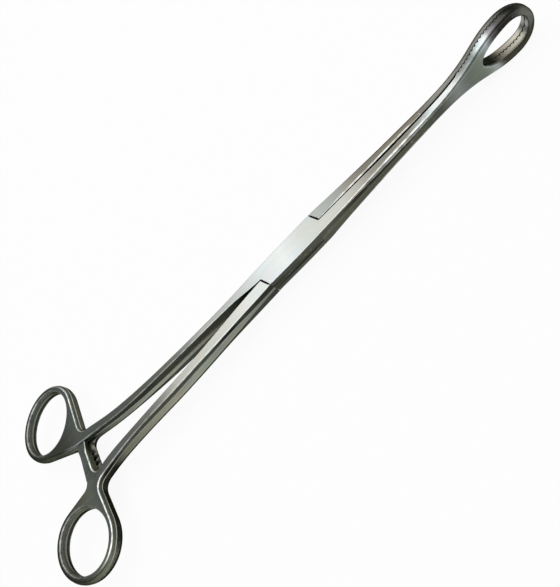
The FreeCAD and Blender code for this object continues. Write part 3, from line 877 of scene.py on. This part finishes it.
# Painted highlights on the middle ridge and on the edges, whose bright colour also marks wear, and olive
# painted light on the arms' fronts and the jaws' lower branch.
RIDGE_HIGHLIGHT_COLOUR = (0.62, 0.62, 0.56, 1.0)
EDGE_WEAR_AND_HIGHLIGHT_COLOUR = (0.86, 0.88, 0.86, 1.0)
OLIVE_PAINTED_LIGHT_COLOUR = (0.20, 0.205, 0.125, 1.0)
GLANCING_COLOUR = (0.3, 0.305, 0.285, 1.0)
SCRATCH_COLOUR = (0.9, 0.9, 0.88, 1.0)
COOL_TINT = (0.94, 0.99, 1.0, 1.0)
WARM_TINT = (1.0, 0.975, 0.945, 1.0)
RIDGE_HIGHLIGHT_SHARE = 0.8
EDGE_WEAR_AND_HIGHLIGHT_SHARE = 0.75
SCRATCH_SHARE = 0.35
SCRATCH_AMOUNT = 0.6
GROUND_ROUGHNESS = 0.27
FORGED_ROUGHNESS = 0.36
WORN_SMOOTHER = 0.08
LINE_LOW, LINE_HIGH = 0.3, 0.7      # of the noise that draws the grinding lines


def ramp_of(tones):
    """Stops of a tone list as shares of the way from TONE_START_X to TONE_END_X."""
    return [((x - TONE_START_X) / (TONE_END_X - TONE_START_X), [c / 1000 for c in colour])
            for x, *colour in tones]


class Tree:
    """Places nodes in a node tree and links them."""

    def __init__(self, tree):
        self.tree = tree

    def feed(self, node, inputs):
        """Gives a node's sockets, by name or number, their values or links them to outputs."""
        for key, value in dict(inputs).items():
            if isinstance(value, bpy.types.NodeSocket):
                self.tree.links.new(value, node.inputs[key])
            else:
                node.inputs[key].default_value = value

    def add(self, kind, inputs=(), **settings):
        """Adds a node with its settings and its sockets' values."""
        node = self.tree.nodes.new(kind)
        for key, value in settings.items():
            setattr(node, key, value)
        self.feed(node, inputs)
        return node

    def group(self, effect, inputs):
        """Outputs of a node group placed in this tree."""
        return self.add("ShaderNodeGroup", inputs, node_tree=effect).outputs

    def math(self, operation, a, b=0.0, c=0.0):
        return self.add("ShaderNodeMath", {0: a, 1: b, 2: c}, operation=operation).outputs[0]

    def mix(self, share, a, b, blend_type="MIX"):
        """Mix of two colours."""
        node = self.add("ShaderNodeMix", {0: share, 6: a, 7: b}, data_type="RGBA", blend_type=blend_type)
        return node.outputs[2]

    def spread(self, value, low, high, new_low=0.0, new_high=1.0):
        """Value moved from one range to another, held at its ends."""
        inputs = {0: value, 1: low, 2: high, 3: new_low, 4: new_high}
        return self.add("ShaderNodeMapRange", inputs).outputs[0]

    def stretched(self, vector, scale, turn=0.0):
        """Place scaled along each axis and turned about Z, which draws a pattern out."""
        inputs = {"Vector": vector, "Scale": scale, "Rotation": (0.0, 0.0, turn)}
        return self.add("ShaderNodeMapping", inputs).outputs[0]

    def noise(self, vector, scale=1.0, detail=2.0):
        inputs = {"Vector": vector, "Scale": scale, "Detail": detail}
        return self.add("ShaderNodeTexNoise", inputs).outputs[0]

    def ramp(self, share, stops):
        """Colour by a share of the way through stops, each a place and a colour."""
        node = self.add("ShaderNodeValToRGB", {0: share})
        elements = node.color_ramp.elements
        while len(elements) < len(stops):
            elements.new(0.5)
        for element, (position, colour) in zip(elements, stops):
            element.position = position
            element.color = (*colour, 1.0)
        return node.outputs[0]


def effect(name, inputs, outputs):
    """New node group with float, vector or colour sockets. Gives its tree and what goes into it."""
    group = bpy.data.node_groups.new(name, "ShaderNodeTree")
    for sockets, way in ((inputs, "INPUT"), (outputs, "OUTPUT")):
        for title, kind in sockets.items():
            group.interface.new_socket(name=title, in_out=way, socket_type="NodeSocket" + kind)
    tree = Tree(group)
    return tree, tree.add("NodeGroupInput").outputs


def grinding_lines():
    """Fine lines left by the grinding belt, along the forceps: noise drawn out along X."""
    tree, given = effect("grinding_lines", {"Place": "Vector"}, {"Lines": "Float", "Streaks": "Float"})
    fine = tree.noise(tree.stretched(given["Place"], (90.0, 5200.0, 5200.0)), detail=3.0)
    broad = tree.noise(tree.stretched(given["Place"], (22.0, 1100.0, 1100.0)))
    tree.add("NodeGroupOutput", {"Lines": fine, "Streaks": broad})
    return tree.tree


def handling_scratches():
    """Sparse hairline scratches in three directions: thin bands where drawn-out noise crosses its mean."""
    tree, given = effect("handling_scratches", {"Place": "Vector", "Amount": "Float"},
                         {"Scratches": "Float"})
    total = 0.0
    for turn, length in ((0.5, 130.0), (-0.7, 170.0), (1.3, 150.0)):
        drawn = tree.stretched(given["Place"], (length, 2400.0, 700.0), turn)
        off = tree.math("ABSOLUTE", tree.math("SUBTRACT", tree.noise(drawn, detail=1.0), 0.5))
        line = tree.spread(off, 0.0, 0.006, 1.0, 0.0)
        patch = tree.spread(tree.noise(given["Place"], 260.0 + 40.0 * turn, 1.0), 0.56, 0.64)
        total = tree.math("MAXIMUM", total, tree.math("MULTIPLY", line, patch))
    tree.add("NodeGroupOutput", {"Scratches": tree.math("MULTIPLY", total, given["Amount"])})
    return tree.tree


def film():
    """Broad faint change of tint, as handling and washing leave on steel."""
    tree, given = effect("film", {"Place": "Vector", "Cool": "Color", "Warm": "Color"}, {"Tint": "Color"})
    patches = tree.noise(tree.stretched(given["Place"], (60.0, 160.0, 160.0)), detail=3.0)
    tint = tree.mix(tree.spread(patches, 0.38, 0.62), given["Cool"], given["Warm"])
    tree.add("NodeGroupOutput", {"Tint": tint})
    return tree.tree


def edge_wear_and_glint():
    """Edge wear and painted highlights, broken up so that they aren't even."""
    tree, given = effect("edge_wear_and_glint", {"Place": "Vector", "Edge": "Float"}, {"WearAndGlint": "Float"})
    patches = tree.noise(given["Place"], 420.0, 3.0)
    broken_wear_and_glint = tree.math("MULTIPLY", given["Edge"], tree.spread(patches, 0.35, 0.6, 0.35, 1.0))
    tree.add("NodeGroupOutput", {"WearAndGlint": broken_wear_and_glint})
    return tree.tree


LINES = grinding_lines()
SCRATCHES = handling_scratches()
FILM = film()
EDGE_WEAR_AND_GLINT = edge_wear_and_glint()


def satin_steel(name, tones, ground_only=False):
    """Satin steel of one half, with light and shade painted into its colour: bright ground tops and dark
    forged flanks from tones along X that paint light and shade, painted shade below, a painted highlight
    line on the middle ridge, and edges that mark wear and carry a painted highlight.
    A piece with nothing but ground faces needs no masks."""
    material = bpy.data.materials.new(name)
    material.use_nodes = True
    tree = Tree(material.node_tree)
    place = tree.add("ShaderNodeTexCoord").outputs["Object"]
    along = tree.add("ShaderNodeSeparateXYZ", {0: place}).outputs[0]
    way = tree.spread(along, TONE_START_X * MM, TONE_END_X * MM)
    lines = tree.group(LINES, {"Place": place})
    scratches = tree.group(SCRATCHES, {"Place": place, "Amount": SCRATCH_AMOUNT})["Scratches"]
    tint = tree.group(FILM, {"Place": place, "Cool": COOL_TINT, "Warm": WARM_TINT})["Tint"]
    top, upper, band, lower = (tree.ramp(way, ramp_of(tones[part])) for part in tones)
    grain = tree.spread(lines["Lines"], LINE_LOW, LINE_HIGH, 0.98, 1.02)
    rough = tree.spread(lines["Lines"], LINE_LOW, LINE_HIGH, -0.03, 0.03)
    if ground_only:
        colour = top
        streaks = tree.spread(lines["Streaks"], LINE_LOW, LINE_HIGH, 0.96, 1.03)
        rough = tree.math("ADD", rough, GROUND_ROUGHNESS)
    else:
        masks = {title: tree.add("ShaderNodeAttribute", attribute_name=title).outputs["Fac"]
                 for title in MASKS}
        wear_and_glint = tree.group(EDGE_WEAR_AND_GLINT, {"Place": place, "Edge": masks["edge"]})["WearAndGlint"]
        ridge = tree.math("MULTIPLY", masks["ridge"], RIDGE_HIGHLIGHT_SHARE)
        bright = tree.math("MULTIPLY", wear_and_glint, EDGE_WEAR_AND_HIGHLIGHT_SHARE)
        # Layers over the flanks' tones: painted shade below, the band's painted tones, olive painted light,
        # the ridge's painted highlight line, the ground tops' tones and the edges' wear with a painted
        # highlight.
        colour = upper
        for share, layer in ((masks["under"], lower), (masks["band"], band),
                             (masks["face"], OLIVE_PAINTED_LIGHT_COLOUR), (ridge, RIDGE_HIGHLIGHT_COLOUR),
                             (masks["ground"], top), (bright, EDGE_WEAR_AND_HIGHLIGHT_COLOUR)):
            colour = tree.mix(share, colour, layer)
        depth = tree.spread(masks["ground"], 0.0, 1.0, 0.16, 0.04)
        streaks = tree.spread(lines["Streaks"], LINE_LOW, LINE_HIGH, -1.0, 0.8)
        streaks = tree.math("MULTIPLY_ADD", streaks, depth, 1.0)
        base_rough = tree.spread(masks["ground"], 0.0, 1.0, FORGED_ROUGHNESS, GROUND_ROUGHNESS)
        rough = tree.math("ADD", rough, base_rough)
        rough = tree.math("SUBTRACT", rough, tree.math("MULTIPLY", wear_and_glint, WORN_SMOOTHER))
    colour = tree.mix(1.0, colour, tint, "MULTIPLY")
    shade = tree.math("MULTIPLY", grain, streaks)
    grey = tree.add("ShaderNodeCombineColor", {0: shade, 1: shade, 2: shade}).outputs[0]
    colour = tree.mix(1.0, colour, grey, "MULTIPLY")
    colour = tree.mix(tree.math("MULTIPLY", scratches, SCRATCH_SHARE), colour, SCRATCH_COLOUR)
    height = tree.math("SUBTRACT", lines["Lines"], scratches)
    bump = tree.add("ShaderNodeBump", {"Strength": 0.04, "Distance": 0.00002, "Height": height}).outputs[0]
    tree.feed(material.node_tree.nodes["Principled BSDF"],
              {"Base Color": colour, "Roughness": rough, "Normal": bump, "Metallic": 1.0,
               "Specular Tint": GLANCING_COLOUR})
    return material


box_steel = satin_steel("box_half_steel", BOX_HALF_TONES_AND_PAINTED_LIGHT)
tongue_steel = satin_steel("tongue_half_steel", TONGUE_HALF_TONES_AND_PAINTED_LIGHT)
for piece, steel, node, body in ((female, box_steel, "female_half", "female_side"),
                                 (male, tongue_steel, "male_half", "male_side")):
    piece.data.materials.clear()
    piece.data.materials.append(steel)
    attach(piece, body)
    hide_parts(node)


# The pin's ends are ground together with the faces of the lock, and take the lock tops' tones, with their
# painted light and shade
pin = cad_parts["lock_pin"]
pin.data.materials.clear()
pin.data.materials.append(satin_steel("pin_end_steel", BOX_HALF_TONES_AND_PAINTED_LIGHT, ground_only=True))

# Camera at the photograph's angle
CAMERA_AT = (0.0536, -0.1852, 0.2002)
CAMERA_FORWARD = Vector((-0.241, 0.648, -0.723)).normalized()
CAMERA_RIGHT = Vector((0.679, -0.420, -0.603))
FOCAL_PIXELS = 807.3
IMAGE_LONG_SIDE = 587
SENSOR_WIDTH = 36.0
camera = placed("camera", bpy.data.cameras.new("camera"))
right = (CAMERA_RIGHT - CAMERA_FORWARD * CAMERA_RIGHT.dot(CAMERA_FORWARD)).normalized()
up = right.cross(CAMERA_FORWARD)
camera_turn = Matrix((right, up, -CAMERA_FORWARD)).transposed().to_4x4()
camera.matrix_world = Matrix.Translation(CAMERA_AT) @ camera_turn
camera.data.sensor_width = SENSOR_WIDTH
camera.data.lens = FOCAL_PIXELS / IMAGE_LONG_SIDE * SENSOR_WIDTH
camera.data.clip_start = 0.01
bpy.context.scene.camera = camera

# Pale floor under the object. What the camera and the steel see of it is mostly plain white, so that
# the object's shadow on it stays faint.
FLOOR_Z = -0.0056
FLOOR_REACH = 6.0
FLOOR_WHITE_SHARE = 0.92
floor_mesh = bpy.data.meshes.new("floor")
corners = [(x * FLOOR_REACH, y * FLOOR_REACH, FLOOR_Z) for x, y in ((-1, -1), (1, -1), (1, 1), (-1, 1))]
floor_mesh.from_pydata(corners, [], [(0, 1, 2, 3)])
floor = placed("floor", floor_mesh)
paper = bpy.data.materials.new("white_paper")
paper.use_nodes = True
tree = Tree(paper.node_tree)
paper.node_tree.nodes.remove(paper.node_tree.nodes["Principled BSDF"])
matt = tree.add("ShaderNodeBsdfDiffuse", {"Color": (0.9, 0.9, 0.9, 1.0)}).outputs[0]
plain = tree.add("ShaderNodeEmission", {"Color": (1.0, 1.0, 1.0, 1.0), "Strength": 1.0}).outputs[0]
rays = tree.add("ShaderNodeLightPath").outputs
seen = tree.math("MAXIMUM", rays["Is Camera Ray"], rays["Is Glossy Ray"])
seen = tree.math("MAXIMUM", seen, rays["Is Transmission Ray"])
share = tree.math("MULTIPLY", seen, FLOOR_WHITE_SHARE)
mixed = tree.add("ShaderNodeMixShader", {0: share, 1: matt, 2: plain}).outputs[0]
tree.feed(paper.node_tree.nodes["Material Output"], {"Surface": mixed})
floor_mesh.materials.append(paper)

# Studio: a pale low cove, dim walls and a pale ceiling, by the height that a direction looks to
STUDIO_LEVELS = [(-2.0, 0.95), (4.0, 0.85), (11.0, 0.16), (30.0, 0.14), (44.0, 0.42), (56.0, 0.7),
                 (80.0, 0.75)]
world = bpy.data.worlds.new("studio")
world.use_nodes = True
tree = Tree(world.node_tree)
direction = tree.add("ShaderNodeTexCoord").outputs["Generated"]
rise = tree.add("ShaderNodeSeparateXYZ", {0: direction}).outputs[2]
stops = [((math.sin(math.radians(height)) + 1) / 2, (value,) * 3) for height, value in STUDIO_LEVELS]
walls = tree.ramp(tree.spread(rise, -1.0, 1.0), stops)
tree.feed(world.node_tree.nodes["Background"], {0: walls})
bpy.context.scene.world = world


def soft_lamp(name, at, size, watts):
    """Rectangular lamp that looks at the lock."""
    data = bpy.data.lights.new(name, "AREA")
    data.shape = "RECTANGLE"
    data.size, data.size_y = size
    data.energy = watts
    lamp = placed(name, data)
    lamp.location = at
    lamp.rotation_euler = (-Vector(at)).to_track_quat("-Z", "Y").to_euler()


soft_lamp("soft_box", (-0.01, 0.62, 0.78), (1.02, 0.7), 2.25)
soft_lamp("ceiling_light", (0.0, -0.12, 1.0), (1.1, 0.9), 4.4)

bpy.context.scene.view_settings.view_transform = "Standard"
